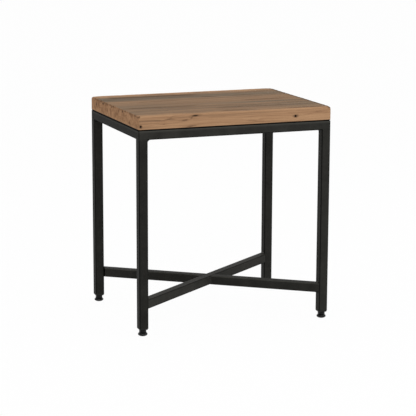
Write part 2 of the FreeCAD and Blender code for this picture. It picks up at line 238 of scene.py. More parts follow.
# Feet
PAD_BASE_SHARE = 0.62  # radius of the flat base, of the pad's radius
PAD_NECK_SHARE = 0.80  # radius of its top
PAD_WIDEST_SHARE = 0.50  # height of its widest ring, of the pad's height
PAD_BULGE_POWER = 0.75
PAD_ROWS = 24
ROUND_SEGMENTS = 48
HEX_SIDES = 6
PIN_RADIUS = 3 * MM
ROD_RADIUS = 4 * MM
THREAD_PITCH = 1.25 * MM
THREAD_DEPTH = 0.65 * MM
THREAD_STEPS = 6  # rows to each turn of thread
THREAD_SLOPE = 1.15  # of the flanks, so that root and crest are flat
THREAD_CREST = 0.08  # share of the depth that the crest's flat takes off
COLLAR_GAP = 0.2 * MM
COLLAR_CHAMFER_SHARE = 0.3  # slope of the collar's chamfers, height to width
COLLAR_WASHER_SHARE = 0.97  # radius of the collar's flat ends, of half its width across flats
COLLAR_ROWS = 10
PLUG_SOFTENING = 0.7 * MM
PLUG_SEGMENTS = 3

# Noises of the materials: scale per metre along X, Y and Z, detail, roughness
RING_NOISE = ((5, 26, 26), 3.0, 0.55)
FIBRE_NOISE = ((45, 1500, 1500), 2.0, 0.7)
STREAK_NOISE = ((3.5, 95, 95), 4.0, 0.6)
BROAD_NOISE = ((2.4, 34, 34), 3.0, 0.6)
BAND_NOISE = ((2.2, 25, 25), 3.0, 0.55)
LINE_NOISE = ((2.6, 150, 150), 2.0, 0.55)
BLOTCH_NOISE = ((60, 62, 62), 4.0, 0.65)
COAT_CLOUDS = ((22, 22, 22), 4.0, 0.6)
COAT_GRAIN = ((1400, 1400, 1400), 2.0, 0.55)
COAT_LUMPS = ((260, 260, 260), 3.0, 0.55)
PAD_SCUFFS = ((900, 900, 2600), 4.0, 0.7)
PLUG_SPARKS = ((2200, 2200, 2200), 2.0, 0.55)
PLATE_CLOUDS = ((160, 160, 160), 3.0, 0.55)
PLATE_DRAWN = ((500, 500, 4200), 2.0, 0.55)
TENON_STREAKS = ((40, 40, 500), 3.0, 0.55)
TENON_FLECKS = ((900, 220, 900), 2.0, 0.55)
# Spans of noise that are spread from 0 to 1
MOST = (0.3, 0.7)
MIDDLE = (0.32, 0.68)
LINES = (0.56, 0.7)
BLOTCHES = (0.36, 0.64)

# Wood: colours from the lightest to the darkest grain
RING_WIDTH = 4.2 * MM
RING_WANDER = 16 * MM
LATE_WOOD = ((0.0, 0.2), (0.55, 0.35), (0.86, 1.0), (1.0, 0.2))  # darkness through one ring
WARM_WOOD = ((0.15, (0.45, 0.27, 0.152)), (0.5, (0.36, 0.208, 0.114)), (0.9, (0.225, 0.12, 0.064)))
GREY_WOOD = (
    (0.15, (0.255, 0.181, 0.121)), (0.5, (0.176, 0.131, 0.089)), (0.9, (0.097, 0.072, 0.050)),
)
# end grain: its own colour, raised lighter as painted light on the ends
END_WOOD = (
    (0.15, (0.47, 0.265, 0.142)), (0.5, (0.345, 0.188, 0.098)), (0.9, (0.18, 0.092, 0.046)),
)
# from light stain to black, also used for the painted shadow above the rails
STAINS_AND_SHADE = ((0.0, (0.16, 0.085, 0.046)), (0.6, (0.07, 0.04, 0.025)), (1.0, (0.006, 0.005, 0.0045)))
DIRT_FULL = 0.75  # stain that covers the wood
LINE_COLOUR = (0.085, 0.056, 0.038, 1)
LINE_STRENGTH = 0.5
WORN_WOOD = (0.50, 0.30, 0.17, 1)
WORN_STRENGTH = 0.6
WOOD_ROUGHNESS = (0.2, 0.9, 0.9, 0.75)  # from light to dark grain
WOOD_GLOSS = 0.06
WOOD_RELIEF, WOOD_BUMP = 0.45 * MM, 0.7

# Black coat
STEEL_COLOUR = (0.0215, 0.0211, 0.0188)
# painted shade: the near-black that corners and the rails' tops under the boards are mixed towards
SHADE_COLOUR = (0.001, 0.001, 0.001, 1)
CLOUD_SHARES = (0.78, 1.22)  # darkest and lightest clouds, of the coat's tone
# paler lumps, upward faces and painted sheen, and painted highlight on corners
PALE_SHARE, HIGHLIGHT_SHARE = 2.4, 3.8  # of the steel's colour
RAIL_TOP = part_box("rail_front")[1].z
RAIL_SHEEN = (3.5 * MM, 8 * MM)  # painted sheen, a paler strip along the rails, from their top
SHEEN_STRENGTH = 0.6
# Coats: tone of the colour (the one black paint made lighter or darker per part, painted light),
# specular level, and shares of painted shade and sheen under the top, painted shade on upright
# corners, painted highlight on level corners, painted shade on level corners, paler upward faces,
# and lumps
COATS = {
    "long_rails": (1.15, 0.018, 1.0, 0.5, 0.9, 0.0, 0.0, 0.3),
    "short_rails": (0.80, 0.014, 1.0, 0.5, 0.3, 0.0, 0.0, 0.3),
    "shaded_left_legs": (0.80, 0.027, 0.0, 0.75, 0.9, 0.0, 0.2, 0.3),
    "lit_right_legs": (1.04, 0.024, 0.0, 0.75, 0.9, 0.0, 0.2, 0.3),
    "through_stretcher": (1.35, 0.018, 0.0, 0.0, 0.0, 0.45, 0.34, 0.3),
    "half_stretchers": (0.95, 0.018, 0.0, 0.0, 0.6, 0.0, 0.28, 0.3),
    "ground_welds": (1.00, 0.018, 1.0, 0.5, 0.9, 0.0, 0.0, 1.2),
    "weld_beads": (1.00, 0.030, 0.0, 0.0, 0.9, 0.0, 0.2, 1.4),
}
LOWER_SHADE = 0.8  # share of dark on lower level corners
LEVEL_CORNER = (0.01, 0.16)  # slant between which the corners of level tubes set in
UPRIGHT_CORNER = (0.1, 0.4)  # and those of upright tubes
LOWER_SIDE = (0.1, -0.1)  # upward part of the outward direction between upper and lower corners
UPWARD_PALE_FACE = (0.8, 1.0)  # and between plain and paler upward faces
TOP_SHADE_START, TOP_SHADE_SPAN = 0.5, 0.22  # and where painted shade under the top sets in, the start times the corner highlight
PALE_LUMPS, PALE_STRENGTH = (0.45, 0.7), 0.5
# clouds across which the painted corner highlight grows, and its least share
HIGHLIGHT_CLOUDS, LEAST_HIGHLIGHT = (0.3, 0.65), 0.4
COAT_ROUGHNESS = (0.25, 0.75, 0.42, 0.56)  # from dark to light clouds
COAT_RELIEF, COAT_BUMP = 0.4 * MM, 0.5  # height of the lumps
GRAIN_SHARE = 0.12

# Pads, plugs, plated screws and tenons
PAD_COLOUR, PAD_SCUFFED = (0.006, 0.006, 0.0062, 1), (0.03, 0.029, 0.027, 1)
PAD_SCUFF_HEIGHT, PAD_SCUFF_SPAN = 1.6 * MM, (0.45, 0.6)
PAD_ROUGHNESS = (0.4, 1.6, 0.14, 0.6)
PAD_GLOSS = 0.18
PLUG_DARK, PLUG_LIGHT = (0.010, 0.010, 0.0095, 1), (0.022, 0.022, 0.020, 1)
PLUG_ROUGHNESS = (0.3, 0.7, 0.45, 0.65)
PLUG_GLOSS = 0.12
PLUG_RELIEF = 0.1 * MM
# Name, dark and light colour, and least roughness of each plating
ZINC = ("zinc_plate", (0.42, 0.42, 0.41), (0.5, 0.5, 0.5), 0.28)
BLACK_ZINC = ("black_zinc", (0.009, 0.009, 0.0095), (0.018, 0.018, 0.0185), 0.34)
PLATE_EDGE = 0.4 * MM  # reach of the brighter edges
PLATE_EDGE_TURN = (1.0, 0.8)  # agreement of eased and flat directions between faces and edges
PLATE_EDGE_SAMPLES = 6
PLATE_EDGE_STRENGTH, PLATE_EDGE_SHARE = 0.6, 2  # share of the light colour
PLATE_ROUGHER = 0.18
TENON_LIGHT, TENON_DARK = (0.62, 0.42, 0.25, 1), (0.48, 0.31, 0.17, 1)
TENON_FLECK, FLECK_SPAN = (0.33, 0.19, 0.10, 1), (0.6, 0.75)
TENON_ROUGHNESS = (0.3, 0.7, 0.6, 0.75)
TENON_RELIEF = 0.2 * MM
FINE_RELIEF = 0.05 * MM  # of scuffs and drawn streaks
FINE_BUMP, PLAIN_BUMP = 0.3, 0.4


# Shader nodes


def new_material(name):
    """An empty node material, its tree and its output's surface socket."""
    material = bpy.data.materials.new(name)
    material.use_nodes = True
    tree = material.node_tree
    tree.nodes.clear()
    output = tree.nodes.new("ShaderNodeOutputMaterial")
    return material, tree, output.inputs["Surface"]


def node(tree, kind, inputs, **settings):
    """A shader node with its inputs linked to sockets or set to values."""
    made = tree.nodes.new(kind)
    for name, value in settings.items():
        setattr(made, name, value)
    for name, value in inputs.items():
        if isinstance(value, bpy.types.NodeSocket):
            tree.links.new(value, made.inputs[name])
        else:
            made.inputs[name].default_value = value
    return made


def principled(tree, surface, inputs):
    """Puts a principled shader on a surface socket."""
    shader = node(tree, "ShaderNodeBsdfPrincipled", inputs)
    tree.links.new(shader.outputs[0], surface)


def math_node(tree, operation, first, second=0.0, third=0.0, clamp=False):
    """Result of a sum on sockets or values."""
    inputs = {0: first, 1: second, 2: third}
    return node(tree, "ShaderNodeMath", inputs, operation=operation, use_clamp=clamp).outputs[0]


def total(tree, *terms):
    """Sum of sockets or values, each times its weight."""
    whole = 0.0
    for value, weight in terms:
        whole = math_node(tree, "MULTIPLY_ADD", value, weight, whole)
    return whole


def vector_node(tree, operation, output, *vectors):
    """Result of a sum on vectors."""
    inputs = dict(enumerate(vectors))
    return node(tree, "ShaderNodeVectorMath", inputs, operation=operation).outputs[output]


def parts_of(tree, vector):
    """Parts of a vector along X, Y and Z."""
    return node(tree, "ShaderNodeSeparateXYZ", {"Vector": vector}).outputs


def attribute(tree, name, output="Fac"):
    """A value stored on the mesh."""
    return node(tree, "ShaderNodeAttribute", {}, attribute_name=name).outputs[output]


def object_place(tree):
    """Place of the shaded point in the piece's own frame."""
    return node(tree, "ShaderNodeTexCoord", {}).outputs["Object"]


def noise_node(tree, place, scale, detail, roughness):
    """Noise stretched by a scale per metre along each axis."""
    stretched = vector_node(tree, "MULTIPLY", "Vector", place, scale)
    inputs = {"Vector": stretched, "Scale": 1.0, "Detail": detail, "Roughness": roughness}
    return node(tree, "ShaderNodeTexNoise", inputs).outputs["Fac"]


def ramp(tree, factor, stops):
    """Colours or greys between stops given as place and colour, in rising order."""
    made = node(tree, "ShaderNodeValToRGB", {"Fac": factor})
    elements = made.color_ramp.elements
    for place, _ in stops[1:-1]:
        elements.new(place)
    for element, (place, colour) in zip(elements, stops):
        element.position = place
        element.color = (*colour, 1) if isinstance(colour, tuple) else (colour, colour, colour, 1)
    return made.outputs["Color"]


def mix(tree, factor, first, second):
    """Mix of two colours."""
    inputs = {0: factor, 6: first, 7: second}  # the node has sockets for other kinds between
    return node(tree, "ShaderNodeMix", inputs, data_type="RGBA").outputs[2]


def between(tree, value, low, high, to_low=0.0, to_high=1.0):
    """A value rescaled from one span to another, held at its ends."""
    inputs = {
        "Value": value, "From Min": low, "From Max": high, "To Min": to_low, "To Max": to_high,
    }
    return node(tree, "ShaderNodeMapRange", inputs).outputs["Result"]


def bump(tree, height, distance, strength):
    """Normal tilted by a height field."""
    inputs = {"Height": height, "Distance": distance, "Strength": strength}
    return node(tree, "ShaderNodeBump", inputs).outputs["Normal"]


def worn_edge(tree, reach):
    """1 on edges sharper than the reach, 0 on flat faces."""
    bevel = node(tree, "ShaderNodeBevel", {"Radius": reach}, samples=PLATE_EDGE_SAMPLES)
    flat = node(tree, "ShaderNodeNewGeometry", {}).outputs["Normal"]
    turn = vector_node(tree, "DOT_PRODUCT", "Value", bevel.outputs["Normal"], flat)
    return between(tree, turn, *PLATE_EDGE_TURN)


def facing(tree):
    """Parts of the outward direction along X, Y and Z."""
    return parts_of(tree, node(tree, "ShaderNodeTexCoord", {}).outputs["Normal"])


def rounded_corner(tree, upward):
    """1 on the rounded corners along a level tube, 0 on level and upright faces."""
    square = math_node(tree, "MULTIPLY", upward, upward)
    slant = math_node(tree, "MULTIPLY", square, math_node(tree, "SUBTRACT", 1.0, square))
    return between(tree, slant, *LEVEL_CORNER)


def upright_corner(tree, along_x, along_y):
    """1 on the rounded corners of an upright tube, 0 on its flat sides."""
    slant = math_node(tree, "MULTIPLY", along_x, along_y)
    return between(tree, math_node(tree, "ABSOLUTE", slant), *UPRIGHT_CORNER)


def tinted(colour, share=1):
    """A colour made lighter or darker, with its alpha."""
    return (*(share * part for part in colour), 1)


# Materials


def barnwood():
    """Weathered boards: rings about a pith, fibres, greyed faces, warm worn edges, dark marks."""
    material, tree, surface = new_material("barnwood_worn")
    place = attribute(tree, "grain_place", "Vector")
    patina = attribute(tree, "patina")
    stain = attribute(tree, "stain")

    across = vector_node(tree, "MULTIPLY", "Vector", place, (0, 1, 1))
    radius = vector_node(tree, "LENGTH", "Value", across)
    warped = total(tree, (radius, 1.0), (noise_node(tree, place, *RING_NOISE), RING_WANDER))
    ring = math_node(tree, "FRACT", math_node(tree, "DIVIDE", warped, RING_WIDTH))
    late_wood = ramp(tree, ring, LATE_WOOD)
    fibre = between(tree, noise_node(tree, place, *FIBRE_NOISE), *MOST)
    streak = between(tree, noise_node(tree, place, *STREAK_NOISE), *MIDDLE)
    broad = between(tree, noise_node(tree, place, *BROAD_NOISE), *MIDDLE)
    band = between(tree, noise_node(tree, place, *BAND_NOISE), *MIDDLE)
    line = between(tree, noise_node(tree, place, *LINE_NOISE), *LINES)

    grain = total(tree, (late_wood, 0.24), (streak, 0.32), (broad, 0.26), (fibre, 0.18))
    weather = total(tree, (band, 0.9), (streak, 0.25), (0.45, 1.0))
    weather = math_node(tree, "MULTIPLY", patina, weather, clamp=True)
    colour = mix(tree, weather, ramp(tree, grain, WARM_WOOD), ramp(tree, grain, GREY_WOOD))
    colour = mix(tree, math_node(tree, "MULTIPLY", line, LINE_STRENGTH), colour, LINE_COLOUR)
    sawn = cut_across(tree, place, late_wood, fibre)
    colour = mix(tree, attribute(tree, "end_grain"), colour, sawn)
    worn = between(tree, patina, 0.0, -1.0, 0.0, WORN_STRENGTH)
    colour = mix(tree, worn, colour, WORN_WOOD)
    # stains darken the wood, and so does the painted shadow above the rails
    colour = mix(tree, between(tree, stain, 0.0, DIRT_FULL), colour, ramp(tree, stain, STAINS_AND_SHADE))

    height = total(tree, (late_wood, 0.4), (fibre, 0.4), (streak, 0.5), (line, -0.6))
    principled(tree, surface, {
        "Base Color": colour,
        "Roughness": between(tree, grain, *WOOD_ROUGHNESS),
        "Normal": bump(tree, height, WOOD_RELIEF, WOOD_BUMP),
        "Specular IOR Level": WOOD_GLOSS,
    })
    return material


def cut_across(tree, place, late_wood, fibre):
    """Colour of the sawn ends: rings, open pores and blotches of old finish."""
    blotch = between(tree, noise_node(tree, place, *BLOTCH_NOISE), *BLOTCHES)
    return ramp(tree, total(tree, (late_wood, 0.25), (blotch, 0.5), (fibre, 0.25)), END_WOOD)


def black_steel(coat):
    """Satin black coat, cloudy and lumpy, paler upward; painted tone, sheen, highlights and shade.
    """
    tone, gloss, covered, upright_shade, highlight_strength, level_shade, upward_paleness, mottle = COATS[coat]
    material, tree, surface = new_material("black_coat_on_" + coat)
    place = object_place(tree)
    cloud = noise_node(tree, place, *COAT_CLOUDS)
    grain = noise_node(tree, place, *COAT_GRAIN)
    lumps = noise_node(tree, place, *COAT_LUMPS)
    along_x, along_y, upward = facing(tree)

    dark, light = (tinted(STEEL_COLOUR, share * tone) for share in CLOUD_SHARES)
    base = mix(tree, between(tree, cloud, *MOST), dark, light)
    pale = between(tree, lumps, *PALE_LUMPS, 0.0, min(1.0, PALE_STRENGTH * mottle))
    upward_pale = between(tree, upward, *UPWARD_PALE_FACE, 0.0, upward_paleness)
    # painted sheen: a paler strip along the rails below the top
    sheen_high, sheen_low = (RAIL_TOP - depth for depth in RAIL_SHEEN)
    height = parts_of(tree, place)["Z"]
    sheen = between(tree, height, sheen_low, sheen_high, 0.0, SHEEN_STRENGTH * covered)
    for share in (upward_pale, sheen):
        pale = math_node(tree, "MAXIMUM", pale, share)
    base = mix(tree, pale, base, tinted(STEEL_COLOUR, PALE_SHARE))

    # painted highlight on the upper rounded corners, painted shade on the lower ones
    corner = rounded_corner(tree, upward)
    below = math_node(tree, "MULTIPLY", corner, between(tree, upward, *LOWER_SIDE))
    corner = math_node(tree, "SUBTRACT", corner, below)
    corner_highlight = between(tree, cloud, *HIGHLIGHT_CLOUDS, LEAST_HIGHLIGHT * highlight_strength, highlight_strength)
    corner_highlight = math_node(tree, "MULTIPLY", corner, corner_highlight)
    base = mix(tree, corner_highlight, base, tinted(STEEL_COLOUR, HIGHLIGHT_SHARE))
    # painted shade under the top, and on upright and level corners
    shade_start = TOP_SHADE_START * highlight_strength
    shade_under_top = between(tree, upward, shade_start, shade_start + TOP_SHADE_SPAN, 0.0, covered)
    upright = upright_corner(tree, along_x, along_y)
    shade = total(
        tree, (upright, upright_shade), (corner, level_shade), (below, LOWER_SHADE), (shade_under_top, 1.0)
    )
    base = mix(tree, between(tree, shade, 0.0, 1.0), base, SHADE_COLOUR)

    relief = total(tree, (lumps, mottle), (grain, GRAIN_SHARE))
    principled(tree, surface, {
        "Base Color": base,
        "Roughness": between(tree, cloud, *COAT_ROUGHNESS),
        "Specular IOR Level": gloss,
        "Normal": bump(tree, relief, COAT_RELIEF, COAT_BUMP),
    })
    return material


def pad_nylon():
    """Glossy black moulded pad, scuffed towards the floor."""
    material, tree, surface = new_material("pad_moulded")
    place = object_place(tree)
    scuff = noise_node(tree, place, *PAD_SCUFFS)
    low = between(tree, parts_of(tree, place)["Z"], PAD_SCUFF_HEIGHT, 0.0)
    worn = math_node(tree, "MULTIPLY", low, between(tree, scuff, *PAD_SCUFF_SPAN))
    principled(tree, surface, {
        "Base Color": mix(tree, worn, PAD_COLOUR, PAD_SCUFFED),
        "Roughness": between(tree, math_node(tree, "ADD", worn, scuff), *PAD_ROUGHNESS),
        "Specular IOR Level": PAD_GLOSS,
        "Normal": bump(tree, scuff, FINE_RELIEF, FINE_BUMP),
    })
    return material


def plug_nylon():
    """Matt black moulded plug."""
    material, tree, surface = new_material("plug_moulded")
    spark = noise_node(tree, object_place(tree), *PLUG_SPARKS)
    principled(tree, surface, {
        "Base Color": mix(tree, spark, PLUG_DARK, PLUG_LIGHT),
        "Roughness": between(tree, spark, *PLUG_ROUGHNESS),
        "Specular IOR Level": PLUG_GLOSS,
        "Normal": bump(tree, spark, PLUG_RELIEF, PLAIN_BUMP),
    })
    return material


def plated_steel(name, dark, light, roughness):
    """Plated screw steel: drawn streaks round the axis, cloudy plating, brighter edges."""
    material, tree, surface = new_material(name)
    place = object_place(tree)
    cloud = between(tree, noise_node(tree, place, *PLATE_CLOUDS), *MOST)
    drawn = noise_node(tree, place, *PLATE_DRAWN)
    edge = math_node(tree, "MULTIPLY", worn_edge(tree, PLATE_EDGE), PLATE_EDGE_STRENGTH)
    tint = mix(tree, cloud, tinted(dark), tinted(light))
    principled(tree, surface, {
        "Base Color": mix(tree, edge, tint, tinted(light, PLATE_EDGE_SHARE)),
        "Metallic": 1.0,
        "Roughness": between(tree, drawn, *MOST, roughness, roughness + PLATE_ROUGHER),
        "Normal": bump(tree, drawn, FINE_RELIEF, FINE_BUMP),
    })
    return material


def tenon_wood():
    """Plain pale hardwood of the loose tenons."""
    material, tree, surface = new_material("tenon_beech")
    place = object_place(tree)
    fleck = noise_node(tree, place, *TENON_FLECKS)
    colour = mix(tree, noise_node(tree, place, *TENON_STREAKS), TENON_LIGHT, TENON_DARK)
    principled(tree, surface, {
        "Base Color": mix(tree, between(tree, fleck, *FLECK_SPAN), colour, TENON_FLECK),
        "Roughness": between(tree, fleck, *TENON_ROUGHNESS),
        "Normal": bump(tree, fleck, TENON_RELIEF, PLAIN_BUMP),
    })
    return material


# Boards


def smooth(value, low, high):
    """0 below low, 1 above high and an even curve between."""
    share = np.clip((value - low) / (high - low), 0, 1)
    return share * share * (3 - 2 * share)


def fade(value, span):
    """1 below a span, 0 above it and an even curve between."""
    return 1 - smooth(value, *span)


def dent(distance, width):
    """1 in the middle of a dent, falling to 0 at its edge."""
    return np.clip(1 - (distance / width) ** 2, 0, 1) ** 2


def stretch(x, start, stop, end_taper):
    """1 along a stretch of the boards, tapered at both its ends."""
    return smooth(x, start, start + CHECK_TAPER) * fade(x, (stop - end_taper, stop))


def ripple(points, scale, seed):
    """Smooth noise between -1 and 1 at each point, the same on every run."""
    shift = SEED_STEP * seed
    return np.array([noise.noise(Vector(place) + shift) for place in points * np.array(scale)])


def uneven(points, ripples, seed=0):
    """1 on average, varied by ripples of given share, scale and seed."""
    return 1 + sum(share * ripple(points, scale, seed + own) for share, scale, own in ripples)


def above_mark(z, share):
    """Height above a mark that lies at a share of the top's thickness from its upper face."""
    return z - TOP_HIGH.z + share * TOP_THICK


def places(low, high, step, fine):
    """Places along one axis: even steps, with closer ones in the fine stretches."""
    found = [np.linspace(low, high, max(2, round((high - low) / step) + 1))]
    for start, end in fine:
        start, end = max(start, low), min(end, high)
        if end > start:
            found.append(np.linspace(start, end, max(2, round((end - start) / GRID_FINE) + 1)))
    line = np.sort(np.concatenate(found))
    line = line[np.concatenate([[True], np.diff(line) > GRID_FINE / 2])]
    line[-1] = high
    return line


def box_shell(xs, ys, zs):
    """Points and quads of a box's surface, divided at the given places."""
    sizes = (len(xs), len(ys), len(zs))
    number = -np.ones(sizes, int)
    edge = np.zeros(sizes, bool)
    for axis in range(3):
        side = [slice(None)] * 3
        for end in (0, -1):
            side[axis] = end
            edge[tuple(side)] = True
    number[edge] = np.arange(edge.sum())
    index = np.argwhere(edge)
    points = np.stack([xs[index[:, 0]], ys[index[:, 1]], zs[index[:, 2]]], 1)
    quads = []
    for axis in range(3):
        for end in (0, -1):
            sheet = np.take(number, end, axis)
            rounds = (sheet[:-1, :-1], sheet[1:, :-1], sheet[1:, 1:], sheet[:-1, 1:])
            quad = np.stack(rounds, -1).reshape(-1, 4)
            outward_as_is = (end == -1) != (axis == 1)
            quads.append(quad if outward_as_is else quad[:, ::-1])
    return points, np.concatenate(quads)


def fine_stretches(name, low, high):
    """Closely divided stretches along X, Y and Z: edges, nail holes and checks."""
    along, across, upward = (
        [(start, start + ARRIS_BAND), (end - ARRIS_BAND, end)] for start, end in zip(low, high)
    )
    if name == BOARDS[0]:
        for x, share, radius, _, _ in NAIL_HOLES:
            middle, band = high.z - share * TOP_THICK, NAIL_BAND * radius
            along.append((x - band, x + band))
            upward.append((middle - band, middle + band))
    band = CHECK_WIDTH + CHECK_WANDER
    across += [(y - band, y + band) for board_name, _, _, y, _ in TOP_CHECKS if board_name == name]
    return along, across, upward


def arris_sizes(name, points, low, high):
    """Radius of the eased edges at each point, along X, Y and Z."""
    x, y, z = points.T
    seed = BOARDS.index(name)
    upper = smooth((z - low.z) / (high.z - low.z), *UPPER_SPAN)
    outer, end = (
        LOWER_ARRIS + upper * (radius * uneven(points, ripples, seed) - LOWER_ARRIS)
        for radius, ripples in ((OUTER_ARRIS, LONG_RIPPLES), (END_ARRIS, END_RIPPLES))
    )
    from_side = np.minimum(y - TOP_LOW.y, TOP_HIGH.y - y)
    from_end = np.minimum(x - low.x, high.x - x)
    side = np.where(from_side < (high.y - low.y) / 2, outer, JOINT_ARRIS)
    side, end = np.maximum(side, LEAST_ARRIS), np.maximum(end, LEAST_ARRIS)
    above = side + fade(from_end / END_ARRIS, WEAR_FADE) * (np.maximum(end, side) - side)

    corner = fade(from_end / CORNER_WEAR, WEAR_FADE) * fade(from_side / CORNER_WEAR, WEAR_FADE)
    above = above + upper * corner * np.maximum(CORNER_ARRIS - above, 0)
    near_top = smooth((z - high.z) / CORNER_WEAR, -CORNER_DROP, 0)
    upright = CORNER_ROUND + (CORNER_WEAR - CORNER_ROUND) * near_top
    end = end + corner * np.maximum(upright - end, 0)
    side = side + corner * np.maximum(upright - side, 0)
    return np.stack([end, side, above], 1)


def eased(points, radii, low, high):
    """Points moved onto the eased edges, and the outward direction at each."""
    core = np.clip(points, np.array(low) + radii, np.array(high) - radii)
    reach = (points - core) / radii
    reach /= np.linalg.norm(reach, axis=1)[:, None]
    return core + reach * radii, reach


def top_checks(name, points, outward, ragged):
    """Depth and stain of the drying checks along the upper face."""
    x, y, _ = points.T
    depths, stains = np.zeros((2, len(points)))
    wander = CHECK_WANDER * ripple(points, *CHECK_DRIFT)
    tone = CHECK_TONE + CHECK_RAGGED * ragged
    for board_name, start, stop, line, depth in TOP_CHECKS:
        if board_name == name:
            reach = stretch(x, start, stop, CHECK_TAPER) * (outward[:, 2] > FACES_UP)
            distance = np.abs(y - line - wander)
            depths = np.maximum(depths, depth * reach * dent(distance, CHECK_WIDTH))
            stains = np.maximum(stains, tone * reach * dent(distance, CHECK_STAIN))
    return depths, stains


def top_streaks(points, outward, ragged):
    """Stain of the broad dark streaks on the upper face."""
    x, y, _ = points.T
    stains = np.zeros(len(points))
    drift = STREAK_WANDER * ripple(points, *STREAK_DRIFT)
    for start, stop, line, half_width, strength in TOP_STREAKS:
        reach = stretch(x, start, stop, STREAK_TAPER)
        distance = np.abs(y - line - drift) * (1 + STREAK_RAGGED * ragged)
        stains = np.maximum(stains, strength * reach * fade(distance / half_width, STREAK_SPAN))
    return stains * (outward[:, 2] > FACES_UP)


def end_marks(points, outward, ragged):
    """Depth and stain of the dark marks in the ends."""
    _, y, z = points.T
    depths, stains = np.zeros((2, len(points)))
    for side, line, share, half_width, half_height, strength in END_MARKS:
        far = np.hypot((y - line) / half_width, above_mark(z, share) / half_height)
        core = fade(far * (1 + MARK_RAGGED * ragged), END_MARK_SPAN)
        core = core * (outward[:, 0] * side > FACES_END)
        depths = np.maximum(depths, END_MARK_DEPTH * core)
        stains = np.maximum(stains, strength * core)
    return depths, stains


def edge_knots(points, outward, ragged):
    """Depth and stain of the knots in the front edge, and how they bend the grain upwards."""
    x, _, z = points.T
    depths, stains, bend = np.zeros((3, len(points)))
    front = outward[:, 1] < -FACES_FRONT
    for middle, share, half_length, half_height, rise, strength in EDGE_KNOTS:
        upward = (above_mark(z, share) - rise * (x - middle)) / half_height
        far = np.hypot((x - middle) / half_length, upward)
        core = front * fade(far * (1 + MARK_RAGGED * ragged), KNOT_SPAN)
        halo = KNOT_HALO * front * fade(far, KNOT_HALO_SPAN)
        depths = np.maximum(depths, KNOT_DEPTH * core)
        stains = np.maximum(stains, strength * np.maximum(core, halo))
        bend += KNOT_SWIRL * np.tanh(upward) * np.exp(-(far / KNOT_SWIRL_REACH) ** 2)
    return depths, stains, bend


def nail_holes(points, outward, ragged):
    """Depth and stain of the nail holes in the front edge."""
    x, _, z = points.T
    depths, stains = np.zeros((2, len(points)))
    front = outward[:, 1] < -FACES_FRONT
    for middle, share, radius, half_length, half_height in NAIL_HOLES:
        upward = above_mark(z, share)
        distance = np.hypot(x - middle, upward) / radius
        rust = np.hypot((x - middle) / half_length, upward / half_height)
        rust = NAIL_STAIN * fade(rust * (1 + NAIL_STAIN_RAGGED * ragged), NAIL_STAIN_SPAN)
        depths = np.maximum(depths, front * NAIL_DEPTH * fade(distance, NAIL_WALL))
        stains = np.maximum.reduce([stains, front * fade(distance, NAIL_RIM), front * rust])
    return depths, stains


def edge_shade_and_stain(name, points, outward):
    """Painted shadow above the rails, stained chipped left end, and dark right and back edges."""
    x, y, z = points.T
    at_end = np.minimum(x - TOP_LOW.x, TOP_HIGH.x - x) < ARRIS_BAND
    at_side = np.minimum(y - TOP_LOW.y, TOP_HIGH.y - y) < ARRIS_BAND
    outwards = np.hypot(outward[:, 0] * at_end, outward[:, 1] * at_side)
    # painted shadow: the lower edges darkened where the top meets the rails
    shadow_line = smooth(outwards, *SHADOW_LINE_TURN) * fade((z - TOP_LOW.z) / LOWER_ARRIS, SHADOW_LINE_SPAN)
    upper = smooth((z - TOP_HIGH.z) / END_ARRIS, *UPPER_EDGE)
    slanted = upper * fade(outward[:, 2], CHIP_FLAT) * smooth(-outward[:, 0], *CHIP_TURN)
    chips = slanted * smooth(uneven(points, END_RIPPLES, BOARDS.index(name)), *CHIP_WEAR)
    right = upper * fade((TOP_HIGH.x - x) * uneven(points, RIGHT_RIPPLES), RIGHT_STRIP)
    back = upper * fade(TOP_HIGH.y - y, BACK_STRIP) * smooth(x / TOP_HIGH.x, *BACK_STRETCH)
    strips = [shadow_line, CHIP_STRENGTH * chips, RIGHT_STRENGTH * right, BACK_STRENGTH * back]
    return np.maximum.reduce(strips)


def patina_of(name, points, outward):
    """How grey the surface is at each point: not at all on edges and ends, below 0 where worn."""
    grey, _ = BOARD_LOOKS[name]
    reach = PATINA_FADE * uneven(points, PATINA_RIPPLES)
    from_front = (points[:, 1] - TOP_LOW.y) / reach
    from_back = (TOP_HIGH.y - points[:, 1]) / reach
    above = (points[:, 2] - TOP_LOW.z) / LOWER_ARRIS
    facing_up = smooth(outward[:, 2], *FLAT_FACE)
    facing_down = smooth(-outward[:, 2], *FLAT_FACE)
    weathered = smooth(from_front, *GREY_FROM_FRONT) * smooth(from_back, *GREY_FROM_BACK)
    worn_front = smooth(outward[:, 2], *WORN_FRONT_TURN) * fade(from_front, WORN_FRONT_SPAN)
    worn_back = facing_up * fade(from_back, WORN_BACK_SPAN)
    worn_end = smooth(-outward[:, 0], *WORN_END_TURN) * fade(above, WORN_END_SPAN)
    strips = [WORN_FRONT * worn_front, WORN_BACK * worn_back, WORN_END * worn_end]
    return grey * facing_up * weathered + UNDERSIDE_GREY * facing_down - np.maximum.reduce(strips)


def add_values(mesh, name, values):
    """Stores a number or vector for each point on the mesh."""
    kind, key = ("FLOAT", "value") if values.ndim == 1 else ("FLOAT_VECTOR", "vector")
    layer = mesh.attributes.new(name, kind, "POINT")
    layer.data.foreach_set(key, np.ascontiguousarray(values, np.float32).ravel())


def piece(name, points, faces, material):
    """A smooth mesh object in the frame of the part."""
    mesh = bpy.data.meshes.new(name)
    mesh.from_pydata([tuple(p) for p in points], [], [tuple(f) for f in faces])
    mesh.shade_smooth()
    mesh.materials.append(material)
    made = bpy.data.objects.new(name, mesh)
    bpy.context.scene.collection.objects.link(made)
    return made


